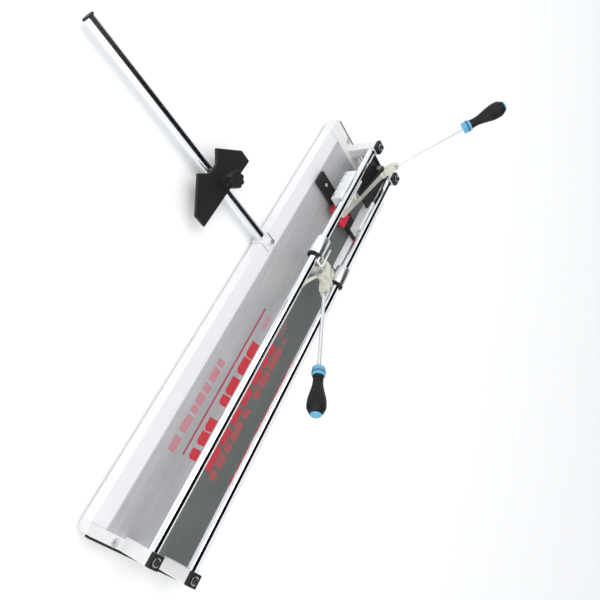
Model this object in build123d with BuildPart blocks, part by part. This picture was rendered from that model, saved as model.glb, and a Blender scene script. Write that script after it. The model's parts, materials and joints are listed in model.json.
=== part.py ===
from build123d import *
import os
from math import atan2, cos, degrees, hypot, radians, sin

# Push-type tile cutter: a long deck between two end castings, two guide rails over it,
# a scoring carriage, a breaking carriage and a side stop on a round bar.
# Millimetres. +Y runs from the operator's end to the far end, +X to the right, +Z up.
# The origin is on the floor under the middle of the deck.

# Base
base_length = 1290.0
base_width = 356.0
deck_level = 44.0
foot_height = 8.0
rim_width = 45.0
rim_drop = 3.0
rim_wall = 2.5
screw_boss = 12.0
deck_thickness = 8.0
skin_thickness = 1.5
near_lip = 28.0
far_lip = 54.0
ledge_length = 30.0
corner_radius = 12.0
strip_thickness = 5.0
strip_height = 13.0
beam_width = 60.0
beam_wall = 3.0
ridge_width = 4.0
ridge_rise = 1.5
foot_radius = 16.0
foot_inset = 34.0
foot_spread = 224.0
centre_foot_size = 60.0
bench_hole_radius = 4.5
bench_hole_spread = 196.0
bench_hole_inset = 14.0
rim_bolt_diameter = 6.0
rim_bolt_head = 3.5
rim_bolt_grip = 18.0

# Guide rails and the blocks that hold their ends
rail_diameter = 25.0
rail_wall = 3.0
rail_spacing = 127.0
rail_height = 77.0
rail_end_cover = 4.0
cap_wall = 2.5
cap_cover = 2.0
cap_thickness = 11.5
cap_bolt_diameter = 8.0
cap_bolt_grip = 37.0
cross_plate_set_back = 2.0
cross_plate_thickness = 5.0
cross_plate_top = 63.0

# Rule on the right half of the deck
rule_length = 301.0
rule_width = 28.0
rule_thickness = 2.0
rule_inset = 9.0

# Scoring carriage
score_back = 421.0
sleeve_wall = 5.5
sleeve_length = 56.0
bush_wall = 3.5
seal_thickness = 4.0
bridge_depth = 12.0
lug_height = 14.0
cheek_thickness = 7.0
hub_width = 23.0
score_hub_back = 62.0
score_hub_height = 92.0
score_angle = 24.0
guard_thickness = 4.0
guard_width = 9.0

# Scoring lever and wheel
hub_radius = 14.0
pin_diameter = 12.0
lever_height = 22.0
nose_length = 56.0
socket_length = 40.0
wheel_diameter = 22.0
wheel_width = 3.0
wheel_forward = 35.0
wheel_height = 21.0
axle_diameter = 5.0
fork_width = 14.0
fork_height = 18.0

# Handles
rod_diameter = 10.0
rod_start = 12.0
score_reach = 290.0
breaker_reach = 264.0
collar_diameter = 33.0
collar_length = 24.0
grip_length = 102.0
grip_neck = 28.0
grip_bulb = 45.0
end_cap_diameter = 28.0
end_cap_length = 4.0
rod_in_grip = 60.0

# Breaking carriage
breaker_back = 198.0
housing_wall = 7.0
housing_below = 32.0
housing_above = 4.0
housing_length = 110.0
housing_bush_length = 30.0
breaker_hub_forward = 134.0
breaker_hub_height = 96.0
breaker_angle = 52.5
yoke_plate_below = 3.0
yoke_plate_thickness = 8.0
yoke_plate_gap = 1.0
yoke_plate_reach = 39.0
yoke_near = 26.0
arm_height = 18.0
housing_bolt_diameter = 6.0
housing_bolt_pitch = 30.0
housing_bolt_below = 24.0
housing_bolt_grip = 4.0

# Breaking foot
foot_pin_back = 30.0
foot_pin_height = 26.0
foot_pin_diameter = 8.0
wing_span = 270.0
wing_depth = 44.0
wing_behind_pin = 20.0
wing_thickness = 8.0
pad_thickness = 2.0
pad_clearance = 3.0
foot_block_width = 78.0
foot_block_depth = 48.0
foot_block_height = 10.0
foot_floor = 3.0

# Side bar, its socket and the stop on it
bar_diameter = 28.0
bar_wall = 2.0
bar_y = 157.0
bar_end = 811.0
bar_plug_length = 4.0
bar_seat = 36.0
socket_wall = 5.5
socket_overhang = 5.0
socket_land = 35.0
clamp_boss_height = 5.0
clamp_diameter = 8.0
fence_front = 350.0
fence_depth = 92.0
fence_near = 122.0
fence_far = 101.0
fence_tip = 34.0
fence_back_half = 43.0
fence_notch = 24.0
fence_rise = 8.0
boss_depth = 56.0
boss_width = 40.0
boss_below = 4.0
fence_post_height = 28.0
fence_post_radius = 13.0
knob_diameter = 42.0
knob_height = 22.0
knob_lobes = 8

# Fits
bore_gap = 0.05
seat_gap = 0.1
side_gap = 0.5
bolt_gap = 0.2
seal_gap = 0.3

# Worked-out places
half_length = base_length / 2
half_deck = base_width / 2 - rim_width
rail_x = rail_spacing / 2
rail_z = deck_level + rail_height
rail_radius = rail_diameter / 2
rim_top = deck_level - rim_drop
board_top = deck_level - skin_thickness
ledge_top = board_top - deck_thickness
near_edge = -(half_length - near_lip)
far_edge = half_length - far_lip
deck_length = far_edge - near_edge
cap_size = rail_diameter + 2 * cap_wall
cap_seat = rail_radius + cap_cover
cap_above = cap_seat + cap_thickness
yoke_plate_width = rail_spacing - cap_size - 2 * yoke_plate_gap
bush_diameter = rail_diameter + 2 * bush_wall
sleeve_diameter = bush_diameter + 2 * sleeve_wall
housing_size = bush_diameter + 2 * housing_wall
score_y = half_length - score_back
breaker_y = half_length - breaker_back
cap_y = half_length - strip_thickness - cap_size / 2
rail_end = half_length - strip_thickness - rail_end_cover
rim_middle = half_deck + rim_width / 2
rim_bolt_z = foot_height + (rim_top - foot_height) / 2
score_hub = (score_y - score_hub_back, deck_level + score_hub_height)
wheel_centre = (score_hub[0] + wheel_forward, deck_level + wheel_height)
breaker_hub = (breaker_y + breaker_hub_forward, deck_level + breaker_hub_height)
foot_pin = (breaker_y - foot_pin_back, deck_level + foot_pin_height)
bar_radius = bar_diameter / 2
bar_z = deck_level - bar_radius
socket_low = bar_z - bar_radius - socket_wall
pad_level = deck_level + pad_clearance
wing_level = pad_level + pad_thickness
wing_top = wing_level + wing_thickness

ends = (("near", -1, near_lip), ("far", 1, far_lip))
sides = (("left", -1), ("right", 1))


def save(piece, label):
    piece.part.label = label
    export_step(piece.part, f"parts/{label}.step")


def lever_point(hub, angle, lean, distance):
    # A point along a handle: lean is -1 towards the operator, +1 away.
    rise = radians(angle)
    return (hub[0] + lean * distance * cos(rise), hub[1] + distance * sin(rise))


def slot_between(start, end, height):
    # A round-ended bar in the sketch plane, from one centre to the other.
    run, rise = end[0] - start[0], end[1] - start[1]
    with Locations(((start[0] + end[0]) / 2, (start[1] + end[1]) / 2)):
        SlotCenterToCenter(hypot(run, rise), height, rotation=degrees(atan2(rise, run)))


def handle_plane(hub, angle, lean, distance):
    # Its normal runs along the handle, away from the hub.
    y, z = lever_point(hub, angle, lean, distance)
    rise = radians(angle)
    return Plane(origin=(0, y, z), x_dir=(1, 0, 0), z_dir=(0, lean * cos(rise), sin(rise)))


def profile_plane(hub, angle, lean, distance):
    # X across the handle, Y along it: where its round pieces are drawn.
    y, z = lever_point(hub, angle, lean, distance)
    rise = radians(angle)
    return Plane(origin=(0, y, z), x_dir=(1, 0, 0), z_dir=(0, -sin(rise), lean * cos(rise)))


os.makedirs("parts", exist_ok=True)


# End castings: a lip across the end, a ledge under the deck and a tower for each rail
tower_height = rail_height + cap_seat

for end_name, side, lip in ends:
    lip_outer = half_length - strip_thickness
    lip_inner = half_length - lip
    bench_y = side * (half_length - bench_hole_inset)
    with BuildPart() as casting:
        with BuildSketch(Plane.XY.offset(foot_height)) as lip_plan:
            with Locations((0, side * (lip_outer + lip_inner) / 2)):
                Rectangle(base_width, lip_outer - lip_inner)
            fillet(lip_plan.vertices().sort_by(Axis((0, 0, 0), (0, side, 0)))[-2:], corner_radius)
        extrude(amount=deck_level - foot_height)
        with BuildSketch(Plane.XY.offset(foot_height)):
            with Locations((0, side * (lip_inner - ledge_length / 2))):
                Rectangle(2 * (half_deck - side_gap), ledge_length)
        extrude(amount=ledge_top - foot_height)
        with BuildSketch(Plane.XY.offset(deck_level)):
            with Locations((-rail_x, side * cap_y), (rail_x, side * cap_y)):
                RectangleRounded(cap_size, cap_size, 2)
        extrude(amount=tower_height)
        with BuildSketch(Plane.XZ.offset(-side * (cap_y - cap_size / 2))):
            with Locations((-rail_x, rail_z), (rail_x, rail_z)):
                Circle(rail_radius + seat_gap)
        extrude(amount=-side * (cap_size - rail_end_cover + seat_gap), mode=Mode.SUBTRACT)
        with Locations(*[(x, bench_y, deck_level) for x in (-bench_hole_spread / 2, bench_hole_spread / 2)]):
            Hole(bench_hole_radius, depth=deck_level)
        with Locations(*[(x, side * cap_y, deck_level + tower_height) for x in (-rail_x, rail_x)]):
            Hole(cap_bolt_diameter / 2 + bolt_gap, depth=cap_seat + cap_bolt_grip + 2)
        with BuildSketch(Plane.XZ.offset(-side * lip_outer)):
            with Locations((-rim_middle, rim_bolt_z), (rim_middle, rim_bolt_z)):
                Circle(rim_bolt_diameter / 2 + bolt_gap)
        extrude(amount=side * (lip_outer - lip_inner), mode=Mode.SUBTRACT)
    save(casting, f"end_casting_{end_name}")

    with BuildPart() as strip:
        with BuildSketch(Plane.XY.offset(deck_level - strip_height)):
            with Locations((0, side * (half_length - strip_thickness / 2))):
                Rectangle(base_width - 2 * corner_radius, strip_thickness)
        extrude(amount=strip_height)
        fillet(strip.edges().filter_by(Axis.Z), strip_thickness / 3)
    save(strip, f"end_strip_{end_name}")

# Bolts that hold the castings to the screw bosses inside the rims
with BuildPart() as casting_bolts:
    for end_name, side, lip in ends:
        with BuildSketch(Plane.XZ.offset(-side * (half_length - strip_thickness))):
            with Locations((-rim_middle, rim_bolt_z), (rim_middle, rim_bolt_z)):
                Circle(rim_bolt_diameter * 0.85)
        extrude(amount=-side * rim_bolt_head)
        with BuildSketch(Plane.XZ.offset(-side * (half_length - strip_thickness))):
            with Locations((-rim_middle, rim_bolt_z), (rim_middle, rim_bolt_z)):
                Circle(rim_bolt_diameter / 2)
        extrude(amount=side * (lip - strip_thickness + rim_bolt_grip))
save(casting_bolts, "casting_bolts")

# Side rims: hollow box extrusions with a screw boss; the left one is notched for the socket
for side_name, side in sides:
    with BuildPart() as rim:
        with BuildSketch(Plane.XZ.offset(-near_edge)):
            with Locations((side * rim_middle, rim_bolt_z)):
                Rectangle(rim_width, rim_top - foot_height)
                Rectangle(rim_width - 2 * rim_wall, rim_top - foot_height - 2 * rim_wall, mode=Mode.SUBTRACT)
                Rectangle(rim_wall, rim_top - foot_height)
                Circle(screw_boss / 2)
                Circle(rim_bolt_diameter / 2 + bolt_gap, mode=Mode.SUBTRACT)
        extrude(amount=-deck_length)
        if side < 0:
            with BuildSketch(Plane.XY.offset(socket_low)):
                with Locations((-(base_width + rim_width) / 2 + socket_land, bar_y)):
                    Rectangle(rim_width, 2 * (bar_radius + socket_wall + bolt_gap))
            extrude(amount=deck_level, mode=Mode.SUBTRACT)
    save(rim, f"side_rim_{side_name}")

# Centre beam between the ledges, with the breaking ridge standing on it
beam_length = deck_length - 2 * ledge_length
beam_height = ledge_top - foot_height
with BuildPart() as centre_beam:
    with BuildSketch(Plane.XZ.offset(-(near_edge + ledge_length))):
        with Locations((0, (foot_height + ledge_top) / 2)):
            Rectangle(beam_width, beam_height)
            Rectangle(beam_width - 2 * beam_wall, beam_height - 2 * beam_wall, mode=Mode.SUBTRACT)
            Rectangle(ridge_width, beam_height)
    extrude(amount=-beam_length)
save(centre_beam, "centre_beam")

with BuildPart() as ridge:
    with BuildSketch(Plane.XZ.offset(-near_edge)):
        with Locations((0, (ledge_top + deck_level + ridge_rise) / 2)):
            Rectangle(ridge_width, deck_level + ridge_rise - ledge_top)
    extrude(amount=-deck_length)
    fillet(ridge.faces().sort_by(Axis.Z)[-1].edges().filter_by(Axis.Y), ridge_width / 4)
save(ridge, "breaking_ridge")

# Deck: a board each side of the ridge, under a sheet whose outer edge is folded down
seam = ridge_width / 2 + bolt_gap
for side_name, side in sides:
    with BuildPart() as board:
        with BuildSketch(Plane.XZ.offset(-near_edge)):
            with Locations((side * (seam + half_deck - skin_thickness) / 2, (ledge_top + board_top) / 2)):
                Rectangle(half_deck - skin_thickness - seam, deck_thickness)
        extrude(amount=-deck_length)
    save(board, f"deck_board_{side_name}")

    with BuildPart() as sheet:
        with BuildSketch(Plane.XZ.offset(-near_edge)):
            with Locations((side * (seam + half_deck) / 2, (ledge_top + deck_level) / 2)):
                Rectangle(half_deck - seam, deck_level - ledge_top)
            with Locations((side * (seam + half_deck - skin_thickness) / 2, (ledge_top + board_top) / 2)):
                Rectangle(half_deck - skin_thickness - seam, deck_thickness, mode=Mode.SUBTRACT)
        extrude(amount=-deck_length)
    save(sheet, f"deck_sheet_{side_name}")

# Rubber feet
with BuildPart() as corner_feet:
    with BuildSketch():
        for x in (-foot_spread / 2, foot_spread / 2):
            with Locations((x, half_length - foot_inset), (x, -half_length + foot_inset)):
                Circle(foot_radius)
    extrude(amount=foot_height)
    chamfer(corner_feet.faces().sort_by(Axis.Z)[0:4].edges(), 1)
save(corner_feet, "corner_feet")

with BuildPart() as centre_foot:
    with BuildSketch():
        RectangleRounded(beam_width, centre_foot_size, 6)
    extrude(amount=foot_height)
save(centre_foot, "centre_foot")

# Rule on the right half, for squaring a tile
with BuildPart() as rule:
    with BuildSketch(Plane.XY.offset(deck_level)):
        with Locations((half_deck - rule_inset - rule_width / 2, far_edge - rule_length / 2)):
            Rectangle(rule_width, rule_length)
    extrude(amount=rule_thickness)
    chamfer(rule.faces().sort_by(Axis.Z)[-1].edges().filter_by(Axis.Y), rule_thickness / 3)
save(rule, "deck_rule")

# Cross plate between the far towers
cross_plate_y = cap_y + cap_size / 2 - cross_plate_set_back - cross_plate_thickness
with BuildPart() as cross_plate:
    with BuildSketch(Plane.XZ.offset(-cross_plate_y)):
        with Locations((0, deck_level + cross_plate_top / 2)):
            Rectangle(rail_spacing - cap_size, cross_plate_top)
        with Locations((0, deck_level)):
            Rectangle(rail_spacing - 2 * cap_size, cap_size, mode=Mode.SUBTRACT)
    extrude(amount=-cross_plate_thickness)
save(cross_plate, "far_cross_plate")

# Guide rails: tubes with a cross hole at each end for the cap bolts
for side_name, side in sides:
    with BuildPart() as rail:
        with BuildSketch(Plane.XZ.offset(rail_end)):
            with Locations((side * rail_x, rail_z)):
                Circle(rail_radius)
                Circle(rail_radius - rail_wall, mode=Mode.SUBTRACT)
        extrude(amount=-2 * rail_end)
        rail_crown = rail_z + rail_radius
        with Locations((side * rail_x, cap_y, rail_crown), (side * rail_x, -cap_y, rail_crown)):
            Hole(cap_bolt_diameter / 2 + bolt_gap, depth=rail_diameter)
    save(rail, f"rail_{side_name}")

# Rail caps: a strap over each rail end, bolted down through the rail into its tower
for end_name, end_side, lip in ends:
    for side_name, side in sides:
        with BuildPart() as cap:
            with BuildSketch(Plane.XY.offset(rail_z + cap_seat)):
                with Locations((side * rail_x, end_side * cap_y)):
                    RectangleRounded(cap_size, cap_size, 2)
            extrude(amount=cap_thickness)
            fillet(cap.faces().sort_by(Axis.Z)[-1].edges(), 1.5)
            with Locations((side * rail_x, end_side * cap_y, rail_z + cap_above)):
                Hole(cap_bolt_diameter / 2 + bolt_gap, depth=cap_above)
        save(cap, f"rail_cap_{end_name}_{side_name}")

with BuildPart() as cap_bolts:
    for x in (-rail_x, rail_x):
        for y in (-cap_y, cap_y):
            with BuildSketch(Plane.XY.offset(rail_z + cap_above)):
                with Locations((x, y)):
                    Circle(cap_bolt_diameter * 0.8)
            extrude(amount=cap_bolt_diameter * 0.6)
            with BuildSketch(Plane.XY.offset(rail_z - cap_bolt_grip)):
                with Locations((x, y)):
                    Circle(cap_bolt_diameter / 2)
            extrude(amount=cap_bolt_grip + cap_above)
            with BuildSketch(Plane.XY.offset(rail_z + cap_above + cap_bolt_diameter * 0.6)):
                with Locations((x, y)):
                    RegularPolygon(cap_bolt_diameter * 0.4, 6)
            extrude(amount=-cap_bolt_diameter * 0.4, mode=Mode.SUBTRACT)
save(cap_bolts, "cap_bolts")

# Scoring carriage: a sleeve and a bush on each rail, with a seal at the near end
for side_name, side in sides:
    with BuildPart() as sleeve:
        with BuildSketch(Plane.XZ.offset(-(score_y - sleeve_length / 2))):
            with Locations((side * rail_x, rail_z)):
                Circle(sleeve_diameter / 2)
                Circle(bush_diameter / 2 + bore_gap, mode=Mode.SUBTRACT)
        extrude(amount=-sleeve_length)
    save(sleeve, f"carriage_sleeve_{side_name}")

    with BuildPart() as bush:
        with BuildSketch(Plane.XZ.offset(-(score_y - sleeve_length / 2))):
            with Locations((side * rail_x, rail_z)):
                Circle(bush_diameter / 2)
                Circle(rail_radius + bore_gap, mode=Mode.SUBTRACT)
        extrude(amount=-sleeve_length)
    save(bush, f"carriage_bush_{side_name}")

with BuildPart() as carriage_seals:
    with BuildSketch(Plane.XZ.offset(-(score_y - sleeve_length / 2 - seal_thickness))):
        with Locations((-rail_x, rail_z), (rail_x, rail_z)):
            Circle(sleeve_diameter / 2 - 0.5)
            Circle(rail_radius + seal_gap, mode=Mode.SUBTRACT)
    extrude(amount=-seal_thickness)
save(carriage_seals, "carriage_seals")

# Bridge: a lug on each sleeve and a cheek on each lug, which carry the lever's pin
cheek_x = hub_width / 2 + side_gap
lug_y = score_y - sleeve_length / 2 + 9
with BuildPart() as bridge:
    for side in (-1, 1):
        with BuildSketch(Plane.XY.offset(rail_z - lug_height / 2)):
            with Locations((side * (cheek_x + rail_x) / 2, lug_y)):
                Rectangle(rail_x - cheek_x, bridge_depth)
        extrude(amount=lug_height)
        with BuildSketch(Plane.YZ.offset(side * cheek_x)):
            slot_between(score_hub, (lug_y, rail_z), lever_height)
            with Locations(score_hub):
                Circle(hub_radius)
        extrude(amount=side * cheek_thickness)
    with BuildSketch(Plane.XZ.offset(-(score_y - sleeve_length / 2 - 1))):
        with Locations((-rail_x, rail_z), (rail_x, rail_z)):
            Circle(sleeve_diameter / 2)
    extrude(amount=-(sleeve_length + 2), mode=Mode.SUBTRACT)
    with BuildSketch(Plane.YZ.offset(cheek_x + cheek_thickness + 1)):
        with Locations(score_hub):
            Circle(pin_diameter / 2)
    extrude(amount=-2 * (cheek_x + cheek_thickness + 1), mode=Mode.SUBTRACT)
save(bridge, "carriage_bridge")

# Curved guard that hangs from the left cheek towards the operator
guard_x = -(cheek_x + cheek_thickness)
with BuildPart() as guard:
    with BuildSketch(Plane.YZ.offset(guard_x)):
        with BuildLine():
            guard_arc = ThreePointArc(
                (score_hub[0] - 6, score_hub[1] - 4),
                (score_hub[0] - 30, score_hub[1] - 36),
                (score_hub[0] - 76, score_hub[1] - 50),
            )
            offset(guard_arc, amount=guard_thickness, side=Side.LEFT)
        make_face()
        with Locations((score_hub[0], score_hub[1])):
            Circle(hub_radius)
    extrude(amount=-guard_width)
    with BuildSketch(Plane.YZ.offset(guard_x)):
        with Locations(score_hub):
            Circle(pin_diameter / 2)
    extrude(amount=-guard_width, mode=Mode.SUBTRACT)
save(guard, "carriage_guard")


def pivot_pin(hub, half_grip, head, label):
    # A pin along X with a head at each end
    with BuildPart() as pin:
        with BuildSketch(Plane.YZ.offset(half_grip)):
            with Locations(hub):
                Circle(pin_diameter / 2)
        extrude(amount=-half_grip - head[0])
        with BuildSketch(Plane.YZ.offset(half_grip)):
            with Locations(hub):
                Circle(pin_diameter / 2 + 3)
        extrude(amount=head[1])
        with BuildSketch(Plane.YZ.offset(-head[0])):
            with Locations(hub):
                RegularPolygon(pin_diameter / 2 + 3, 6)
        extrude(amount=-head[1])
    save(pin, label)


grip_half = cheek_x + cheek_thickness
pivot_pin(score_hub, grip_half, (grip_half + guard_width, 5), "score_pivot_pin")

# Scoring lever: a bar along the handle, with the wheel's fork hanging from its nose
nose = lever_point(score_hub, score_angle, -1, -nose_length)
socket_end = lever_point(score_hub, score_angle, -1, socket_length)
fork_root = lever_point(score_hub, score_angle, -1, -0.6 * nose_length)
with BuildPart() as score_lever:
    with BuildSketch(Plane.YZ):
        slot_between(nose, socket_end, lever_height)
    extrude(amount=(hub_width - 4) / 2, both=True)
    with BuildSketch(Plane.YZ):
        with Locations(score_hub):
            Circle(hub_radius)
    extrude(amount=hub_width / 2, both=True)
    with BuildSketch(Plane.YZ):
        slot_between(fork_root, wheel_centre, fork_height)
    extrude(amount=fork_width / 2, both=True)
    with BuildSketch(Plane.YZ):
        with Locations(wheel_centre):
            Circle(wheel_diameter / 2 + 2)
    extrude(amount=wheel_width / 2 + side_gap, both=True, mode=Mode.SUBTRACT)
    with BuildSketch(Plane.YZ):
        with Locations(wheel_centre):
            Circle(axle_diameter / 2)
    extrude(amount=fork_width, both=True, mode=Mode.SUBTRACT)
    with BuildSketch(Plane.YZ):
        with Locations(score_hub):
            Circle(pin_diameter / 2 + bore_gap)
    extrude(amount=hub_width, both=True, mode=Mode.SUBTRACT)
    with BuildSketch(handle_plane(score_hub, score_angle, -1, rod_start)):
        Circle(rod_diameter / 2)
    extrude(amount=socket_length + lever_height, mode=Mode.SUBTRACT)
save(score_lever, "score_lever")

with BuildPart() as wheel_axle:
    with BuildSketch(Plane.YZ):
        with Locations(wheel_centre):
            Circle(axle_diameter / 2)
    extrude(amount=fork_width / 2 + 1.5, both=True)
save(wheel_axle, "wheel_axle")

with BuildPart() as wheel:
    with BuildSketch(Plane.XY.offset(wheel_centre[1])):
        with Locations((0, wheel_centre[0])):
            Polygon(
                (-wheel_width / 2, axle_diameter / 2 + bore_gap),
                (wheel_width / 2, axle_diameter / 2 + bore_gap),
                (wheel_width / 2, wheel_diameter / 2 - wheel_width),
                (0.2, wheel_diameter / 2),
                (-0.2, wheel_diameter / 2),
                (-wheel_width / 2, wheel_diameter / 2 - wheel_width),
                align=None,
            )
    revolve(axis=Axis((0, wheel_centre[0], wheel_centre[1]), (1, 0, 0)))
save(wheel, "scoring_wheel")


def handle(prefix, hub, angle, lean, reach):
    # Rod, collar, grip and end cap, strung along the lever's handle line
    rod_end = reach + rod_in_grip
    with BuildPart() as rod:
        with BuildSketch(handle_plane(hub, angle, lean, rod_start)):
            Circle(rod_diameter / 2)
        extrude(amount=rod_end - rod_start)
    save(rod, f"{prefix}_rod")

    with BuildPart() as collar:
        with BuildSketch(handle_plane(hub, angle, lean, reach)):
            Circle(collar_diameter / 2)
        extrude(amount=collar_length)
        fillet(collar.edges().filter_by(GeomType.CIRCLE), 2.5)
        with BuildSketch(handle_plane(hub, angle, lean, reach)):
            Circle(rod_diameter / 2)
        extrude(amount=collar_length, mode=Mode.SUBTRACT)
    save(collar, f"{prefix}_collar")

    grip_start = profile_plane(hub, angle, lean, reach + collar_length)
    grip_axis = Axis(grip_start.origin, grip_start.y_dir)
    with BuildPart() as grip:
        with BuildSketch(grip_start):
            with BuildLine():
                Polyline((0, grip_length), (0, 0), (grip_neck / 2, 0))
                Spline(
                    (grip_neck / 2, 0),
                    (grip_neck / 2 + 0.5, 0.3 * grip_length),
                    (grip_bulb / 2, 0.80 * grip_length),
                    (end_cap_diameter / 2, grip_length),
                )
                Line((end_cap_diameter / 2, grip_length), (0, grip_length))
            make_face()
        revolve(axis=grip_axis)
        with BuildSketch(handle_plane(hub, angle, lean, reach + collar_length)):
            Circle(rod_diameter / 2)
        extrude(amount=rod_in_grip - collar_length, mode=Mode.SUBTRACT)
    save(grip, f"{prefix}_grip")

    cap_flat = 0.6 * end_cap_diameter / 2
    cap_start = profile_plane(hub, angle, lean, reach + collar_length + grip_length)
    with BuildPart() as end_cap:
        with BuildSketch(cap_start):
            with BuildLine():
                Polyline((cap_flat, end_cap_length), (0, end_cap_length), (0, 0), (end_cap_diameter / 2, 0))
                ThreePointArc(
                    (end_cap_diameter / 2, 0),
                    (0.86 * end_cap_diameter / 2, 0.7 * end_cap_length),
                    (cap_flat, end_cap_length),
                )
            make_face()
        revolve(axis=Axis(cap_start.origin, cap_start.y_dir))
    save(end_cap, f"{prefix}_end_cap")


handle("score", score_hub, score_angle, -1, score_reach)
handle("breaker", breaker_hub, breaker_angle, 1, breaker_reach)

# Breaking carriage: a saddle hangs on each rail, open along its top, lined at each end
housing_low = rail_z - housing_below
housing_top = rail_z + housing_above
housing_half = housing_size / 2
for side_name, side in sides:
    with BuildPart() as housing:
        with BuildSketch(Plane.XY.offset(housing_low)):
            with Locations((side * rail_x, breaker_y)):
                Rectangle(housing_size, housing_length)
        extrude(amount=housing_top - housing_low)
        chamfer(housing.edges().filter_by(Axis.Y), 2)
        with BuildSketch(Plane.XZ.offset(-(breaker_y - housing_length / 2))):
            with Locations((side * rail_x, rail_z)):
                Circle(bush_diameter / 2 + bore_gap)
        extrude(amount=-housing_length, mode=Mode.SUBTRACT)
        with BuildSketch(Plane.YZ.offset(side * (rail_x + housing_half))):
            with Locations((breaker_y, rail_z - housing_bolt_below)):
                with GridLocations(housing_bolt_pitch, 0, 4, 1):
                    Circle(housing_bolt_diameter / 2 + bolt_gap)
        extrude(amount=-side * (housing_bolt_grip + 1), mode=Mode.SUBTRACT)
    save(housing, f"breaker_housing_{side_name}")

with BuildPart() as breaker_bushes:
    for start in (-housing_length / 2, housing_length / 2 - housing_bush_length):
        with BuildSketch(Plane.XZ.offset(-(breaker_y + start))):
            with Locations((-rail_x, rail_z), (rail_x, rail_z)):
                Circle(bush_diameter / 2)
                Circle(rail_radius + bore_gap, mode=Mode.SUBTRACT)
            with Locations((0, housing_top + rail_diameter)):
                Rectangle(rail_spacing + 2 * bush_diameter, 2 * rail_diameter, mode=Mode.SUBTRACT)
        extrude(amount=-housing_bush_length)
save(breaker_bushes, "breaker_bushes")

with BuildPart() as housing_bolts:
    for side in (-1, 1):
        with BuildSketch(Plane.YZ.offset(side * (rail_x + housing_half))):
            with Locations((breaker_y, rail_z - housing_bolt_below)):
                with GridLocations(housing_bolt_pitch, 0, 4, 1):
                    Circle(housing_bolt_diameter * 0.8)
        extrude(amount=side * housing_bolt_diameter * 0.6)
        with BuildSketch(Plane.YZ.offset(side * (rail_x + housing_half))):
            with Locations((breaker_y, rail_z - housing_bolt_below)):
                with GridLocations(housing_bolt_pitch, 0, 4, 1):
                    Circle(housing_bolt_diameter / 2)
        extrude(amount=-side * housing_bolt_grip)
save(housing_bolts, "housing_bolts")

# Yoke: a slotted plate between the rails and two gussets that rise to the lever's pin
plate_top = rail_z - yoke_plate_below
plate_near = breaker_y + housing_length / 2 - yoke_near
plate_step = breaker_y + housing_length / 2 + 1
plate_far = breaker_hub[0] + yoke_plate_reach - hub_radius
slot_half = (hub_width - 4) / 2 + 1
with BuildPart() as yoke:
    with BuildSketch(Plane.XY.offset(plate_top - yoke_plate_thickness)):
        with Locations((0, (plate_near + plate_far) / 2)):
            Rectangle(rail_spacing - housing_size, plate_far - plate_near)
        with Locations((0, (plate_step + plate_far) / 2)):
            Rectangle(yoke_plate_width, plate_far - plate_step)
        with Locations((0, plate_near)):
            Rectangle(2 * slot_half, 2 * (breaker_hub[0] - hub_radius - plate_near), mode=Mode.SUBTRACT)
    extrude(amount=yoke_plate_thickness)
    for side in (-1, 1):
        with BuildSketch(Plane.YZ.offset(side * cheek_x)):
            with Locations(breaker_hub):
                Circle(hub_radius)
            Polygon(
                (plate_near + 4, plate_top - yoke_plate_thickness),
                (plate_near + 4, plate_top + 2),
                (breaker_hub[0] - hub_radius * 0.5, breaker_hub[1] + hub_radius * 0.86),
                (breaker_hub[0] + hub_radius, breaker_hub[1]),
                (plate_far - 4, plate_top - yoke_plate_thickness),
                align=None,
            )
        extrude(amount=side * cheek_thickness)
    with BuildSketch(Plane.YZ.offset(cheek_x + cheek_thickness + 1)):
        with Locations(breaker_hub):
            Circle(pin_diameter / 2)
    extrude(amount=-2 * (cheek_x + cheek_thickness + 1), mode=Mode.SUBTRACT)
save(yoke, "breaker_yoke")
pivot_pin(breaker_hub, grip_half, (grip_half, 5), "breaker_pivot_pin")

# Breaking lever: a bell crank from the handle to the foot's pin
breaker_socket = lever_point(breaker_hub, breaker_angle, 1, socket_length)
with BuildPart() as breaker_lever:
    with BuildSketch(Plane.YZ):
        slot_between(breaker_hub, breaker_socket, lever_height)
        slot_between(breaker_hub, foot_pin, arm_height)
    extrude(amount=(hub_width - 4) / 2, both=True)
    with BuildSketch(Plane.YZ):
        with Locations(breaker_hub):
            Circle(hub_radius)
    extrude(amount=hub_width / 2, both=True)
    with BuildSketch(Plane.YZ):
        with Locations(breaker_hub):
            Circle(pin_diameter / 2 + bore_gap)
    extrude(amount=hub_width, both=True, mode=Mode.SUBTRACT)
    with BuildSketch(Plane.YZ):
        with Locations(foot_pin):
            Circle(foot_pin_diameter / 2)
    extrude(amount=hub_width, both=True, mode=Mode.SUBTRACT)
    with BuildSketch(handle_plane(breaker_hub, breaker_angle, 1, rod_start)):
        Circle(rod_diameter / 2)
    extrude(amount=socket_length + lever_height, mode=Mode.SUBTRACT)
save(breaker_lever, "breaker_lever")

# Breaking foot: a block hinged on the lever's pin, over a wide bar with a pad under each wing
ear_x = (hub_width - 4) / 2 + side_gap
with BuildPart() as foot_pin_piece:
    with BuildSketch(Plane.YZ):
        with Locations(foot_pin):
            Circle(foot_pin_diameter / 2)
    extrude(amount=ear_x + cheek_thickness + 1.5, both=True)
save(foot_pin_piece, "foot_pin")

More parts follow.
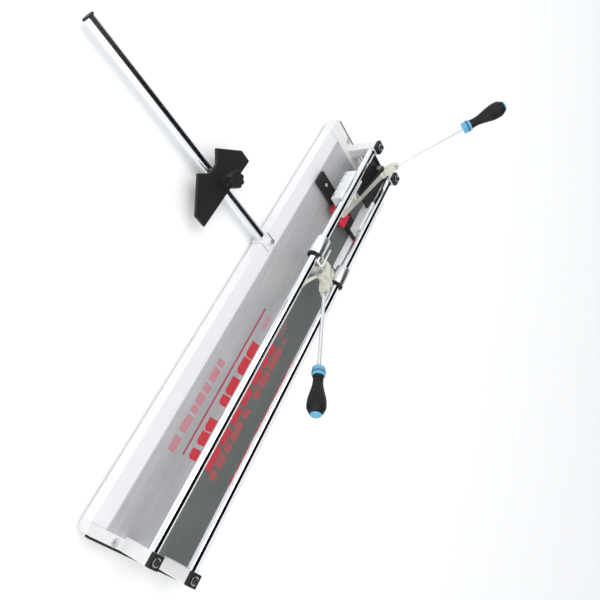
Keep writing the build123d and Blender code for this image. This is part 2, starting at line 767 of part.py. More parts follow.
with BuildPart() as foot_block:
    with BuildSketch(Plane.XY.offset(wing_top)):
        with Locations((0, foot_pin[0])):
            RectangleRounded(foot_block_width, foot_block_depth, 4)
    extrude(amount=foot_block_height)
    with BuildSketch(Plane.YZ.offset(ear_x + cheek_thickness)):
        with BuildLine():
            Polyline(
                (foot_pin[0] - foot_block_depth / 2 + 2, wing_top),
                (foot_pin[0] + foot_block_depth / 2 - 2, wing_top),
                (foot_pin[0] + foot_pin_diameter, foot_pin[1]),
            )
            ThreePointArc(
                (foot_pin[0] + foot_pin_diameter, foot_pin[1]),
                (foot_pin[0], foot_pin[1] + foot_pin_diameter),
                (foot_pin[0] - foot_pin_diameter, foot_pin[1]),
            )
            Line(
                (foot_pin[0] - foot_pin_diameter, foot_pin[1]),
                (foot_pin[0] - foot_block_depth / 2 + 2, wing_top),
            )
        make_face()
    extrude(amount=-2 * (ear_x + cheek_thickness))
    with BuildSketch(Plane.XY.offset(wing_top + foot_floor)):
        with Locations((0, foot_pin[0])):
            Rectangle(2 * ear_x, 2 * foot_block_depth)
    extrude(amount=deck_level, mode=Mode.SUBTRACT)
    with BuildSketch(Plane.YZ.offset(foot_block_width / 2)):
        with Locations(foot_pin):
            Circle(foot_pin_diameter / 2 + bore_gap)
    extrude(amount=-foot_block_width, mode=Mode.SUBTRACT)
save(foot_block, "foot_block")

wing_y = foot_pin[0] + wing_behind_pin
with BuildPart() as wing_bar:
    with BuildSketch(Plane.XY.offset(wing_level)):
        with Locations((0, wing_y)):
            RectangleRounded(wing_span, wing_depth, 5)
    extrude(amount=wing_thickness)
    chamfer(wing_bar.faces().sort_by(Axis.Z)[-1].edges(), 1.5)
save(wing_bar, "foot_wing_bar")

pad_length = (wing_span - foot_block_width) / 2
with BuildPart() as foot_pads:
    with BuildSketch(Plane.XY.offset(pad_level)):
        for side in (-1, 1):
            with Locations((side * (wing_span - pad_length) / 2, wing_y)):
                RectangleRounded(pad_length - 6, wing_depth - 6, 3)
    extrude(amount=pad_thickness)
save(foot_pads, "foot_pads")

# Socket for the side bar, seated in the left rim's notch
socket_outer = base_width / 2 + socket_overhang
socket_length_x = socket_overhang + socket_land
bar_inner_end = -(socket_outer - bar_seat)
clamp_x = -(socket_outer - socket_length_x / 2)
clamp_top = bar_z + bar_radius + socket_wall + clamp_boss_height
with BuildPart() as socket:
    with BuildSketch(Plane.YZ.offset(-socket_outer)):
        with Locations((bar_y, bar_z)):
            Circle(bar_radius + socket_wall)
        with Locations((bar_y, (bar_z + socket_low) / 2)):
            Rectangle(2 * (bar_radius + socket_wall), bar_z - socket_low)
    extrude(amount=socket_length_x)
    with BuildSketch(Plane.XY.offset(bar_z)):
        with Locations((clamp_x, bar_y)):
            Circle(clamp_diameter)
    extrude(amount=clamp_top - bar_z)
    with BuildSketch(Plane.YZ.offset(-socket_outer)):
        with Locations((bar_y, bar_z)):
            Circle(bar_radius + bore_gap)
    extrude(amount=bar_seat + side_gap, mode=Mode.SUBTRACT)
    with Locations((clamp_x, bar_y, clamp_top)):
        Hole(clamp_diameter / 2 + bore_gap, depth=clamp_top - bar_z)
save(socket, "bar_socket")

with BuildPart() as clamp_screw:
    with BuildSketch(Plane.XY.offset(bar_z + bar_radius + seal_gap)):
        with Locations((clamp_x, bar_y)):
            Circle(clamp_diameter / 2)
    extrude(amount=clamp_top - bar_z - bar_radius)
    with BuildSketch(Plane.XY.offset(clamp_top + seal_gap)):
        with Locations((clamp_x, bar_y)):
            Circle(clamp_diameter * 0.8)
    extrude(amount=clamp_diameter * 0.7)
    with BuildSketch(Plane.XY.offset(clamp_top + seal_gap + clamp_diameter * 0.7)):
        with Locations((clamp_x, bar_y)):
            RegularPolygon(clamp_diameter * 0.42, 6)
    extrude(amount=-clamp_diameter * 0.45, mode=Mode.SUBTRACT)
save(clamp_screw, "bar_clamp_screw")

# Side bar: a tube with a plug in its outer end
with BuildPart() as side_bar:
    with BuildSketch(Plane.YZ.offset(bar_inner_end)):
        with Locations((bar_y, bar_z)):
            Circle(bar_radius)
            Circle(bar_radius - bar_wall, mode=Mode.SUBTRACT)
    extrude(amount=-(bar_end - bar_plug_length + bar_inner_end))
save(side_bar, "side_bar")

with BuildPart() as bar_plug:
    with BuildSketch(Plane.YZ.offset(-bar_end)):
        with Locations((bar_y, bar_z)):
            Circle(bar_radius)
    extrude(amount=bar_plug_length)
    fillet(bar_plug.faces().sort_by(Axis.X)[0].edges(), bar_plug_length / 2)
    with BuildSketch(Plane.YZ.offset(bar_plug_length - bar_end)):
        with Locations((bar_y, bar_z)):
            Circle(bar_radius - bar_wall - bore_gap)
    extrude(amount=bar_diameter / 2)
save(bar_plug, "bar_end_plug")

# Stop: a winged plate over a boss bored for the bar, with a post for its knob
fence_top = deck_level + fence_rise
boss_low = bar_z - bar_radius - boss_below
fence_back = fence_front + fence_depth
post_x = -(fence_front + boss_depth / 2)
post_top = fence_top + fence_post_height
with BuildPart() as fence:
    with BuildSketch(Plane.XY.offset(deck_level)):
        with BuildLine():
            Polyline(
                (-fence_front, bar_y - fence_near),
                (-fence_front, bar_y + fence_far),
                (-fence_front - fence_tip, bar_y + fence_far),
                (-fence_back, bar_y + fence_back_half),
                (-fence_back + fence_notch, bar_y + bar_radius + 2),
                (-fence_back + fence_notch, bar_y - bar_radius - 2),
                (-fence_back, bar_y - fence_back_half),
                (-fence_front - fence_tip, bar_y - fence_near),
                close=True,
            )
        make_face()
    extrude(amount=fence_rise)
    chamfer(fence.faces().sort_by(Axis.Z)[-1].edges(), 1.2)
    with BuildSketch(Plane.XY.offset(boss_low)):
        with Locations((post_x, bar_y)):
            Rectangle(boss_depth, boss_width)
    extrude(amount=deck_level - boss_low)
    with BuildSketch(Plane.XY.offset(fence_top)):
        with Locations((post_x, bar_y)):
            Circle(fence_post_radius)
    extrude(amount=fence_post_height)
    with BuildSketch(Plane.YZ.offset(-fence_front + 1)):
        with Locations((bar_y, bar_z)):
            Circle(bar_radius + bore_gap)
    extrude(amount=-(fence_depth + 2), mode=Mode.SUBTRACT)
    with Locations((post_x, bar_y, post_top)):
        Hole(clamp_diameter / 2 + bore_gap, depth=post_top - bar_z)
save(fence, "stop_fence")

with BuildPart() as knob:
    with BuildSketch(Plane.XY.offset(post_top + seal_gap)):
        with Locations((post_x, bar_y)):
            Circle(knob_diameter / 2)
            with PolarLocations(knob_diameter / 2 + 1, knob_lobes):
                Circle(knob_diameter / 10, mode=Mode.SUBTRACT)
    extrude(amount=knob_height)
    fillet(knob.faces().sort_by(Axis.Z)[-1].edges(), 1.5)
    with BuildSketch(Plane.XY.offset(bar_z + bar_radius + seal_gap)):
        with Locations((post_x, bar_y)):
            Circle(clamp_diameter / 2)
    extrude(amount=post_top - bar_z - bar_radius)
save(knob, "fence_knob")
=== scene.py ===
import json
import math

import bmesh
import bpy
from mathutils import Matrix, Vector


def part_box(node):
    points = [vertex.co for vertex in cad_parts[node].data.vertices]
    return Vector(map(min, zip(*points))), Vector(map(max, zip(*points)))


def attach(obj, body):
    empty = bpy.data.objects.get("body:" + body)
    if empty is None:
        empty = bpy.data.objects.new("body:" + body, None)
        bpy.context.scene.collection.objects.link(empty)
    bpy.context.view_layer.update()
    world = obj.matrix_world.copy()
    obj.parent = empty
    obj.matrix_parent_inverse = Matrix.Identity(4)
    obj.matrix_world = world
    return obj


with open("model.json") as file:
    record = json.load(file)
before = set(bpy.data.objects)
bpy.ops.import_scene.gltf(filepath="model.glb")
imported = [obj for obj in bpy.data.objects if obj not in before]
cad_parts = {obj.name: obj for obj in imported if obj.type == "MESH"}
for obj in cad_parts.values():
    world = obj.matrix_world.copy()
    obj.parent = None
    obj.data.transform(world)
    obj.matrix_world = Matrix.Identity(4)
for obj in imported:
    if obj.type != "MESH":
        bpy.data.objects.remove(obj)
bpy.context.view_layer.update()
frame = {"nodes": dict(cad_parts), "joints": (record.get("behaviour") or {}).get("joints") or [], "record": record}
print("frame loaded:", len(frame["nodes"]), "nodes")


class Wire:
    # an output socket of a shader node; each sum on it adds a Math node
    def __init__(self, finish, socket):
        self.finish = finish
        self.socket = socket

    def reckon(self, operation, first, second):
        return self.finish.node("ShaderNodeMath", {"operation": operation}, {0: first, 1: second})

    def __add__(self, other):
        return self.reckon("ADD", self, other)

    def __radd__(self, other):
        return self.reckon("ADD", other, self)

    def __sub__(self, other):
        return self.reckon("SUBTRACT", self, other)

    def __rsub__(self, other):
        return self.reckon("SUBTRACT", other, self)

    def __mul__(self, other):
        return self.reckon("MULTIPLY", self, other)

    def __rmul__(self, other):
        return self.reckon("MULTIPLY", other, self)


class Finish:
    # a Principled material; fixed values go straight on the shader's sockets
    def __init__(self, name, **fixed):
        self.material = bpy.data.materials.new(name)
        self.material.use_nodes = True
        self.tree = self.material.node_tree
        self.shader = self.tree.nodes["Principled BSDF"]
        for socket, value in fixed.items():
            self.shader.inputs[socket.replace("_", " ")].default_value = value
        self.place = self.node("ShaderNodeTexCoord", output="Object")

    def node(self, kind, settings=None, values=None, output=0):
        made = self.tree.nodes.new(kind)
        for key, value in (settings or {}).items():
            if key == "stops":
                self.setStops(made.color_ramp, value)
            else:
                setattr(made, key, value)
        for key, value in (values or {}).items():
            self.feed(made.inputs[key], value)
        return Wire(self, made.outputs[output])

    def setStops(self, ramp, stops):
        while len(ramp.elements) < len(stops):
            ramp.elements.new(0.5)
        for element, (place, shade) in zip(ramp.elements, stops):
            element.position = place
            element.color = (shade, shade, shade, 1)

    def feed(self, socket, value):
        if isinstance(value, Wire):
            self.tree.links.new(value.socket, socket)
        else:
            socket.default_value = value

    def drive(self, socket, value):
        self.feed(self.shader.inputs[socket], value)

    def noise(self, scale, stretch=(1, 1, 1), detail=3.0, roughness=0.5):
        where = self.node("ShaderNodeMapping", None, {"Vector": self.place, "Scale": stretch})
        values = {"Vector": where, "Scale": scale, "Detail": detail, "Roughness": roughness}
        return self.node("ShaderNodeTexNoise", None, values)

    def cells(self, scale, stretch=(1, 1, 1)):
        where = self.node("ShaderNodeMapping", None, {"Vector": self.place, "Scale": stretch})
        return self.node("ShaderNodeTexVoronoi", None, {"Vector": where, "Scale": scale})

    def ramp(self, factor, low, high):
        return self.node("ShaderNodeValToRGB", {"stops": [(low, 0.0), (high, 1.0)]}, {0: factor})

    def blend(self, factor, first, second):
        return self.node("ShaderNodeMix", {"data_type": "RGBA"}, {0: factor, 6: first, 7: second}, 2)

    def bump(self, height, strength, distance=0.001, normal=None):
        values = {"Strength": strength, "Distance": distance, "Height": height}
        if normal is not None:
            values["Normal"] = normal
        return self.node("ShaderNodeBump", None, values)

    def edgeHighlightAndWear(self, radius):
        # 1 on sharp outer edges, 0 on flats, from the rounded normal; castings, extrusions and plastics use it to
        # paint a highlight on their edges, painted metal uses it to place its rubbed-through chips
        rounded = self.node("ShaderNodeBevel", {"samples": 4}, {"Radius": radius})
        flat = self.node("ShaderNodeNewGeometry", output="Normal")
        turned = self.node("ShaderNodeVectorMath", {"operation": "DOT_PRODUCT"}, {0: rounded, 1: flat}, 1)
        return self.ramp(1 - turned, 0.02, 0.22)


def shade(colour, factor=1.0):
    return tuple(channel * factor for channel in colour) + (1.0,)


sheetLook = {
    "lightColour": (0.52, 0.52, 0.53),
    "darkColour": (0.160, 0.176, 0.167),
    "streakAcross": 520.0,
    "streakAlong": 3.0,
    "roughness": 0.36,
    "dim": 0.66,
    "bright": 1.32,
    "worn": 1.3,
}


def brushedSheet(name, colour):
    finish = Finish(name, Metallic=0.35, Specular_IOR_Level=0.3)
    along = sheetLook["streakAlong"]
    fine = finish.noise(sheetLook["streakAcross"] / 10, (10, along / 10, 10), 6.0, 0.62)
    broad = finish.noise(90.0, (1, 0.03, 1), 4.0, 0.5)
    smudge = finish.noise(9.0, (1, 0.6, 1), 4.0, 0.6)
    streak = fine * 0.55 + broad * 0.45
    base = finish.blend(streak, shade(colour, sheetLook["dim"]), shade(colour, sheetLook["bright"]))
    worn = finish.blend(finish.ramp(smudge, 0.42, 0.75) * 0.35, base, shade(colour, sheetLook["worn"]))
    finish.drive("Base Color", worn)
    finish.drive("Roughness", sheetLook["roughness"] - 0.10 + 0.16 * streak + 0.08 * smudge)
    finish.drive("Normal", finish.bump(fine, 0.25, 0.0002))
    return finish.material


chromeLook = {
    "colour": (0.90, 0.91, 0.93),
    "roughness": 0.085,
    "smear": 0.10,
}


def chrome(name, stretch=(1, 1, 1), blur=0.0):
    finish = Finish(name, Metallic=1.0, Specular_IOR_Level=0.6)
    smear = finish.noise(26.0, stretch, 5.0, 0.6)
    scratch = finish.noise(900.0, tuple(0.02 if part < 1 else 1 for part in stretch), 2.0, 0.5)
    tint = finish.blend(smear, shade(chromeLook["colour"], 0.96), shade(chromeLook["colour"], 1.04))
    finish.drive("Base Color", tint)
    rough = blur + chromeLook["roughness"] + chromeLook["smear"] * finish.ramp(smear, 0.45, 0.8)
    finish.drive("Roughness", rough + 0.05 * finish.ramp(scratch, 0.62, 0.7))
    finish.drive("Normal", finish.bump(scratch, 0.04, 0.0001))
    return finish.material


def castMetal(name, colour, grain, roughness, metallic=1.0):
    # shot-blasted casting: pebbled skin, with a painted highlight lightening the sharp edges, which are also
    # smoother like rubbed metal
    finish = Finish(name, Metallic=metallic, Specular_IOR_Level=0.5)
    pebble = finish.noise(grain, (1, 1, 1), 3.0, 0.6)
    patch = finish.noise(18.0, (1, 1, 1), 4.0, 0.55)
    edge = finish.edgeHighlightAndWear(0.0012)
    base = finish.blend(patch, shade(colour, 0.86), shade(colour, 1.08))
    # painted highlight: the sharp edges take 1.3 times the casting's colour
    finish.drive("Base Color", finish.blend(edge * 0.6, base, shade(colour, 1.3)))
    finish.drive("Roughness", roughness + 0.14 * patch - 0.12 * edge)
    finish.drive("Normal", finish.bump(pebble, 0.35, 0.0004))
    return finish.material


def extrudedMetal(name, colour, roughness, along=(1, 0.02, 1), metallic=1.0):
    # drawn through a die: fine lines along its length
    finish = Finish(name, Metallic=metallic, Specular_IOR_Level=0.5)
    lines = finish.noise(420.0, along, 3.0, 0.5)
    patch = finish.noise(7.0, (1, 0.5, 1), 4.0, 0.6)
    base = finish.blend(lines * 0.6 + patch * 0.4, shade(colour, 0.90), shade(colour, 1.08))
    edge = finish.edgeHighlightAndWear(0.0008)
    # painted highlight: the sharp edges take 1.2 times the extrusion's colour
    finish.drive("Base Color", finish.blend(edge * 0.5, base, shade(colour, 1.2)))
    finish.drive("Roughness", roughness + 0.12 * lines + 0.08 * patch)
    finish.drive("Normal", finish.bump(lines, 0.15, 0.0002))
    return finish.material


def groundSteel(name, colour, roughness, along=(1, 0.05, 1)):
    finish = Finish(name, Metallic=1.0)
    lines = finish.noise(800.0, along, 2.0, 0.5)
    stain = finish.noise(60.0, (1, 1, 1), 4.0, 0.6)
    base = finish.blend(lines, shade(colour, 0.85), shade(colour, 1.1))
    finish.drive("Base Color", finish.blend(finish.ramp(stain, 0.55, 0.8) * 0.3, base, shade(colour, 0.6)))
    finish.drive("Roughness", roughness + 0.15 * lines)
    finish.drive("Normal", finish.bump(lines, 0.2, 0.0001))
    return finish.material


def paintedMetal(name, colour, roughness, peel=240.0, bare=(0.55, 0.55, 0.55), gloss=0.5):
    # powder coat with an orange-peel skin, rubbed through on the edges
    finish = Finish(name, Specular_IOR_Level=gloss, IOR=1.5)
    skin = finish.noise(peel, (1, 1, 1), 2.0, 0.5)
    patch = finish.noise(22.0, (1, 1, 1), 4.0, 0.6)
    chips = finish.edgeHighlightAndWear(0.0007) * finish.ramp(finish.noise(320.0, (1, 1, 1), 3.0, 0.6), 0.50, 0.62)
    base = finish.blend(patch, shade(colour, 0.85), shade(colour, 1.15))
    finish.drive("Base Color", finish.blend(chips, base, shade(bare)))
    finish.drive("Metallic", 0.9 * chips)
    finish.drive("Roughness", roughness + 0.10 * patch)
    finish.drive("Normal", finish.bump(skin, 0.25, 0.0003))
    return finish.material


def mouldedPlastic(name, colour, roughness, grain=700.0, coat=0.0, gloss=0.5):
    finish = Finish(name, Specular_IOR_Level=gloss, Coat_Weight=coat)
    spark = finish.cells(grain)
    patch = finish.noise(30.0, (1, 1, 1), 4.0, 0.6)
    edge = finish.edgeHighlightAndWear(0.0008)
    base = finish.blend(patch, shade(colour, 0.82), shade(colour, 1.18))
    # painted highlight: the sharp edges are lightened a little
    finish.drive("Base Color", finish.blend(edge * 0.35, base, shade([part + 0.05 for part in colour])))
    finish.drive("Roughness", roughness + 0.12 * patch)
    finish.drive("Normal", finish.bump(spark, 0.22, 0.0002))
    return finish.material


def rubberSkin(name, colour, roughness=0.62):
    finish = Finish(name, Specular_IOR_Level=0.22)
    pebble = finish.noise(1100.0, (1, 1, 1), 2.0, 0.5)
    dust = finish.noise(40.0, (1, 1, 1), 5.0, 0.65)
    dusty = shade([part + 0.04 for part in colour])
    finish.drive("Base Color", finish.blend(finish.ramp(dust, 0.50, 0.85) * 0.5, shade(colour), dusty))
    finish.drive("Roughness", roughness + 0.18 * dust)
    finish.drive("Normal", finish.bump(pebble, 0.3, 0.0002))
    return finish.material


def printedInk(name, colour, strength):
    # screen-printed ink: thin in places, so the sheet's brushing shows in it
    finish = Finish(name, Specular_IOR_Level=0.12, Roughness=0.5)
    thin = finish.noise(520.0, (1, 0.08, 1), 4.0, 0.6)
    speck = finish.noise(260.0, (1, 1, 1), 4.0, 0.7)
    cover = finish.ramp(thin * 0.6 + speck * 0.4, 0.36, 0.66)
    faded = shade([0.5 * part + 0.25 for part in colour])
    finish.drive("Base Color", finish.blend(cover * strength, shade(colour), faded))
    finish.drive("Normal", finish.bump(thin, 0.15, 0.0001))
    return finish.material


def sinteredBronze(name):
    finish = Finish(name, Metallic=1.0)
    pores = finish.cells(1400.0)
    patch = finish.noise(60.0)
    finish.drive("Base Color", finish.blend(patch, (0.45, 0.28, 0.11, 1), (0.66, 0.44, 0.20, 1)))
    finish.drive("Roughness", 0.32 + 0.2 * patch)
    finish.drive("Normal", finish.bump(pores, 0.3, 0.0002))
    return finish.material


finishes = {
    "cast_aluminium": castMetal("castAluminium", (0.82, 0.82, 0.82), 420.0, 0.46, 0.15),
    "rim_aluminium": extrudedMetal("rimAluminium", (0.85, 0.85, 0.86), 0.36, metallic=0.15),
    "deck_board": extrudedMetal("deckBoard", (0.66, 0.67, 0.68), 0.40),
    "light_sheet": brushedSheet("lightSheet", sheetLook["lightColour"]),
    "dark_sheet": brushedSheet("darkSheet", sheetLook["darkColour"]),
    "ridge_steel": groundSteel("ridgeSteel", (0.62, 0.62, 0.63), 0.26),
    "rubber": rubberSkin("footRubber", (0.022, 0.022, 0.023)),
    "chrome": chrome("chromeAlongDeck", (1, 0.08, 1)),
    "black_plastic": mouldedPlastic("blackPlastic", (0.014, 0.014, 0.012), 0.44, gloss=0.3),
    "zinc_bolt": groundSteel("zincBolt", (0.80, 0.81, 0.82), 0.22, (1, 1, 1)),
    "black_screw": paintedMetal("blackOxide", (0.03, 0.03, 0.032), 0.35),
    "black_paint": paintedMetal("blackPaint", (0.016, 0.017, 0.016), 0.42, gloss=0.25),
    "bronze": sinteredBronze("sinteredBronze"),
    "nickel_casting": castMetal("nickelCasting", (0.82, 0.80, 0.70), 500.0, 0.36, 0.55),
    "housing_alloy": extrudedMetal("housingAlloy", (0.82, 0.83, 0.84), 0.32, metallic=0.3),
    "red_paint": paintedMetal("redPaint", (0.62, 0.02, 0.05), 0.30),
    "tool_steel": groundSteel("toolSteel", (0.55, 0.55, 0.57), 0.18, (1, 1, 1)),
    "blue_plastic": mouldedPlastic("bluePlastic", (0.10, 0.38, 0.56), 0.30, 900.0, 0.3),
    "grip_rubber": rubberSkin("gripRubber", (0.010, 0.010, 0.011), 0.46),
}
chromeAcross = chrome("chromeAcross", (0.08, 1, 1), 0.10)
rodChrome = chrome("rodChrome", (1, 0.2, 1), 0.20)
linerPlastic = mouldedPlastic("linerPlastic", (0.52, 0.52, 0.50), 0.42)
satinChrome = chrome("satinChrome", (1, 0.2, 1), 0.24)
printRed = printedInk("printRed", (0.60, 0.022, 0.040), 0.22)
printRedDark = printedInk("printRedOnDark", (0.52, 0.022, 0.04), 0.22)
printPale = printedInk("printPale", (0.46, 0.16, 0.19), 0.80)
printLine = printedInk("printLine", (0.36, 0.045, 0.08), 0.40)
printFaint = printedInk("printFaint", (0.34, 0.06, 0.06), 0.35)
printTrace = printedInk("printTrace", (0.20, 0.115, 0.11), 0.20)
printFaintLight = printedInk("printFaintLight", (0.52, 0.25, 0.28), 0.60)
inkBlack = printedInk("inkBlack", (0.02, 0.02, 0.02), 0.2)
# the collar band's dark navy is painted shade, standing for the darker edges of the blue collar
collarShadeBlue = mouldedPlastic("collarShadeBlue", (0.015, 0.09, 0.26), 0.28, 900.0, 0.4)
print("materials made:", len(bpy.data.materials))


# bevel widths that take the sharpness off the CAD edges, in metres
softEdges = {
    "end_casting_near": 0.0016, "end_casting_far": 0.0016, "bar_socket": 0.0008,
    "carriage_bridge": 0.0008, "carriage_guard": 0.0006, "score_lever": 0.0012,
    "breaker_lever": 0.0012, "breaker_yoke": 0.0008, "foot_block": 0.0010,
    "foot_wing_bar": 0.0005, "breaker_housing_left": 0.0005, "breaker_housing_right": 0.0005,
    "side_rim_left": 0.0006, "side_rim_right": 0.0006, "far_cross_plate": 0.0005,
    "stop_fence": 0.0008, "cap_bolts": 0.0004, "housing_bolts": 0.0003,
    "carriage_sleeve_left": 0.0006, "carriage_sleeve_right": 0.0006, "carriage_seals": 0.0006,
    "deck_rule": 0.0002, "fence_knob": 0.0008, "bar_clamp_screw": 0.0004,
    "score_pivot_pin": 0.0005, "breaker_pivot_pin": 0.0005, "bar_end_plug": 0.0006,
}


def soften(piece, width, segments=2):
    weld = piece.modifiers.new("weld", "WELD")
    weld.merge_threshold = 0.00001
    bevel = piece.modifiers.new("bevel", "BEVEL")
    bevel.width = width
    bevel.segments = segments
    bevel.limit_method = "ANGLE"
    bevel.angle_limit = math.radians(32)
    bevel.use_clamp_overlap = True
    bevel.harden_normals = False


# each CAD node takes the finish of its slot
slotOf = {part["node"]: part["material_slot"] for part in frame["record"]["subparts"]}
for name, node in frame["nodes"].items():
    node.data.materials.clear()
    node.data.materials.append(finishes[slotOf[name]])
    if name in softEdges:
        soften(node, softEdges[name])
# nodes whose finish differs from their slot's
ownFinish = {
    "side_bar": chromeAcross, "carriage_sleeve_left": satinChrome, "carriage_sleeve_right": satinChrome,
    "score_rod": rodChrome, "breaker_rod": rodChrome, "breaker_bushes": linerPlastic,
    "cap_bolts": finishes["black_screw"], "bar_clamp_screw": finishes["zinc_bolt"],
}
for name, material in ownFinish.items():
    frame["nodes"][name].data.materials[0] = material
print("CAD nodes finished")


def newPiece(name, mesh, material, body):
    piece = bpy.data.objects.new(name, mesh)
    bpy.context.scene.collection.objects.link(piece)
    mesh.materials.append(material)
    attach(piece, body)
    return piece


def meshFrom(name, build, smooth=True):
    work = bmesh.new()
    build(work)
    bmesh.ops.recalc_face_normals(work, faces=work.faces)
    mesh = bpy.data.meshes.new(name)
    work.to_mesh(mesh)
    work.free()
    for face in mesh.polygons:
        face.use_smooth = smooth
    return mesh


def slabOn(work, corners, low, high):
    # a closed plate over a flat outline, given as (x, y) corners in order
    rings = [[work.verts.new((x, y, level)) for x, y in corners] for level in (low, high)]
    work.faces.new(list(reversed(rings[0])))
    work.faces.new(rings[1])
    for index in range(len(corners)):
        after = (index + 1) % len(corners)
        work.faces.new((rings[0][index], rings[0][after], rings[1][after], rings[1][index]))


stageLook = {
    "floorSize": 40.0,
    "floorColour": (0.93, 0.93, 0.93),
    "skyColour": (0.96, 0.98, 1.0),
    "skyStrength": 0.98,
}


def makeStage():
    mesh = meshFrom("studioFloor", lambda work: bmesh.ops.create_grid(
        work, x_segments=1, y_segments=1, size=stageLook["floorSize"] / 2))
    floor = bpy.data.objects.new("studioFloor", mesh)
    bpy.context.scene.collection.objects.link(floor)
    paper = Finish("studioPaper", Roughness=0.9, Specular_IOR_Level=0.1)
    mottle = paper.noise(2.0)
    colour = stageLook["floorColour"]
    paper.drive("Base Color", paper.blend(mottle, shade(colour, 0.99), shade(colour, 1.01)))
    mesh.materials.append(paper.material)
    world = bpy.data.worlds.new("studioSky")
    bpy.context.scene.world = world
    world.use_nodes = True
    sky = world.node_tree.nodes["Background"]
    sky.inputs["Color"].default_value = stageLook["skyColour"] + (1.0,)
    sky.inputs["Strength"].default_value = stageLook["skyStrength"]


lampLook = {
    "keyLight": {"place": (-2.2, 0.6, 3.0), "aim": (0, 0, 0), "size": (2.2, 2.2), "power": 40.0},
    "fillLight": {"place": (-0.8, -3.4, 2.2), "aim": (0, 0, 0), "size": (2.2, 2.2), "power": 20.0},
}


def softLight(name, look):
    lamp = bpy.data.lights.new(name, "AREA")
    lamp.shape = "RECTANGLE"
    lamp.size, lamp.size_y = look["size"]
    lamp.energy = look["power"]
    holder = bpy.data.objects.new(name, lamp)
    bpy.context.scene.collection.objects.link(holder)
    holder.location = look["place"]
    holder.rotation_mode = "QUATERNION"
    holder.rotation_quaternion = (Vector(look["aim"]) - Vector(look["place"])).to_track_quat("-Z", "Y")


cardLook = {
    "left": -1.25,
    "right": 3.9,
    "near": -1.9,
    "fadeFrom": 3.2,
    "far": 7.5,
    "height": 3.0,
    "darkest": (0.002, 0.002, 0.002, 1),
    "dark": (0.006, 0.006, 0.006, 1),
    "pale": (0.9, 0.9, 0.9, 1),
}


def darkCard(name):
    # a dark card overhead that only reflections see: it draws the black line along the chrome,
    # and its far part pales so that the side bar's line fades out
    def build(work):
        around = [(cardLook[x], cardLook[y]) for x, y in
                  (("left", "near"), ("right", "near"), ("right", "far"), ("left", "far"))]
        work.faces.new([work.verts.new((x, y, cardLook["height"])) for x, y in around])
    mesh = meshFrom(name, build)
    card = bpy.data.objects.new(name, mesh)
    bpy.context.scene.collection.objects.link(card)
    felt = Finish(name + "Felt", Roughness=1.0, Specular_IOR_Level=0.0)
    depth = felt.node("ShaderNodeSeparateXYZ", None, {0: felt.place}, "Y")
    perMetre = 1 / (cardLook["far"] - cardLook["fadeFrom"])
    pale = felt.ramp((depth - cardLook["fadeFrom"]) * perMetre, 0.0, 1.0)
    weave = felt.blend(felt.noise(300.0), cardLook["darkest"], cardLook["dark"])
    felt.drive("Base Color", felt.blend(pale, weave, cardLook["pale"]))
    mesh.materials.append(felt.material)
    card.visible_camera = False
    card.visible_diffuse = False
    card.visible_shadow = False


cameraLook = {
    "place": (-0.948, -0.573, 1.064),
    "right": (0.4878, 0.4255, 0.7622),
    "up": (-0.6083, 0.7919, -0.0527),
    "lens": 33.35,
    "sensor": 36.0,
}


def makeCamera():
    right = Vector(cameraLook["right"]).normalized()
    back = right.cross(Vector(cameraLook["up"])).normalized()
    up = back.cross(right)
    data = bpy.data.cameras.new("mainCamera")
    data.lens = cameraLook["lens"]
    data.sensor_width = cameraLook["sensor"]
    camera = bpy.data.objects.new("mainCamera", data)
    bpy.context.scene.collection.objects.link(camera)
    turned = Matrix((right, up, back)).transposed().to_4x4()
    turned.translation = Vector(cameraLook["place"])
    camera.matrix_world = turned
    bpy.context.scene.camera = camera


makeStage()
for name, look in lampLook.items():
    softLight(name, look)
darkCard("darkCard")
makeCamera()
bpy.context.scene.view_settings.view_transform = "Standard"
print("stage, lights and camera set")


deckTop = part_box("deck_sheet_left")[1][2]
inkCoat = {"bottom": 0.00004, "top": 0.00012}  # above the sheets

# printed marks: plain bars, no lettering; sides are across the deck, blocks run along it
markRows = {
    "markSmallRow": {
        "ink": printPale, "sides": (-0.105, -0.081), "notch": 0.004, "slant": 0.0,
        "blocks": ((-0.190, -0.172), (-0.232, -0.195), (-0.262, -0.240), (-0.296, -0.267),
                   (-0.318, -0.300), (-0.367, -0.326), (-0.417, -0.380))},
    "markLine": {
        "ink": printLine, "sides": (-0.0585, -0.0520), "notch": 0.0004, "slant": 0.0,
        "blocks": ((-0.408, 0.016),)},
    "markBarsLeft": {
        "ink": printRed, "sides": (-0.0385, -0.0030), "notch": 0.007, "slant": 0.004,
        "blocks": ((-0.120, -0.076), (-0.169, -0.124), (-0.230, -0.183), (-0.261, -0.235),
                   (-0.332, -0.300), (-0.369, -0.336), (-0.407, -0.381))},
    "markBarsRight": {
        "ink": printRedDark, "sides": (0.0030, 0.0480), "notch": 0.007, "slant": -0.005,
        "blocks": ((-0.066, -0.036), (-0.104, -0.072), (-0.160, -0.112), (-0.220, -0.170),
                   (-0.276, -0.228), (-0.332, -0.286), (-0.404, -0.338))},
    "markSmallDark": {
        "ink": printFaint, "sides": (0.0530, 0.0770), "notch": 0.004, "slant": 0.0,
        "blocks": ((-0.100, -0.030), (-0.155, -0.108), (-0.190, -0.162), (-0.248, -0.222),
                   (-0.312, -0.262), (-0.345, -0.320), (-0.386, -0.352), (-0.419, -0.396))},
    "markFade": {
        "ink": printFaintLight, "sides": (-0.0360, -0.0200), "notch": 0.004, "slant": 0.0,
        "blocks": ((-0.030, 0.010),)},
    "markTrace": {
        "ink": printTrace, "sides": (0.0300, 0.0480), "notch": 0.004, "slant": 0.0,
        "blocks": ((-0.014, 0.034),)},
    "markTraceNear": {
        "ink": printTrace, "sides": (0.0540, 0.0760), "notch": 0.004, "slant": 0.0,
        "blocks": ((-0.022, 0.004),)},
}


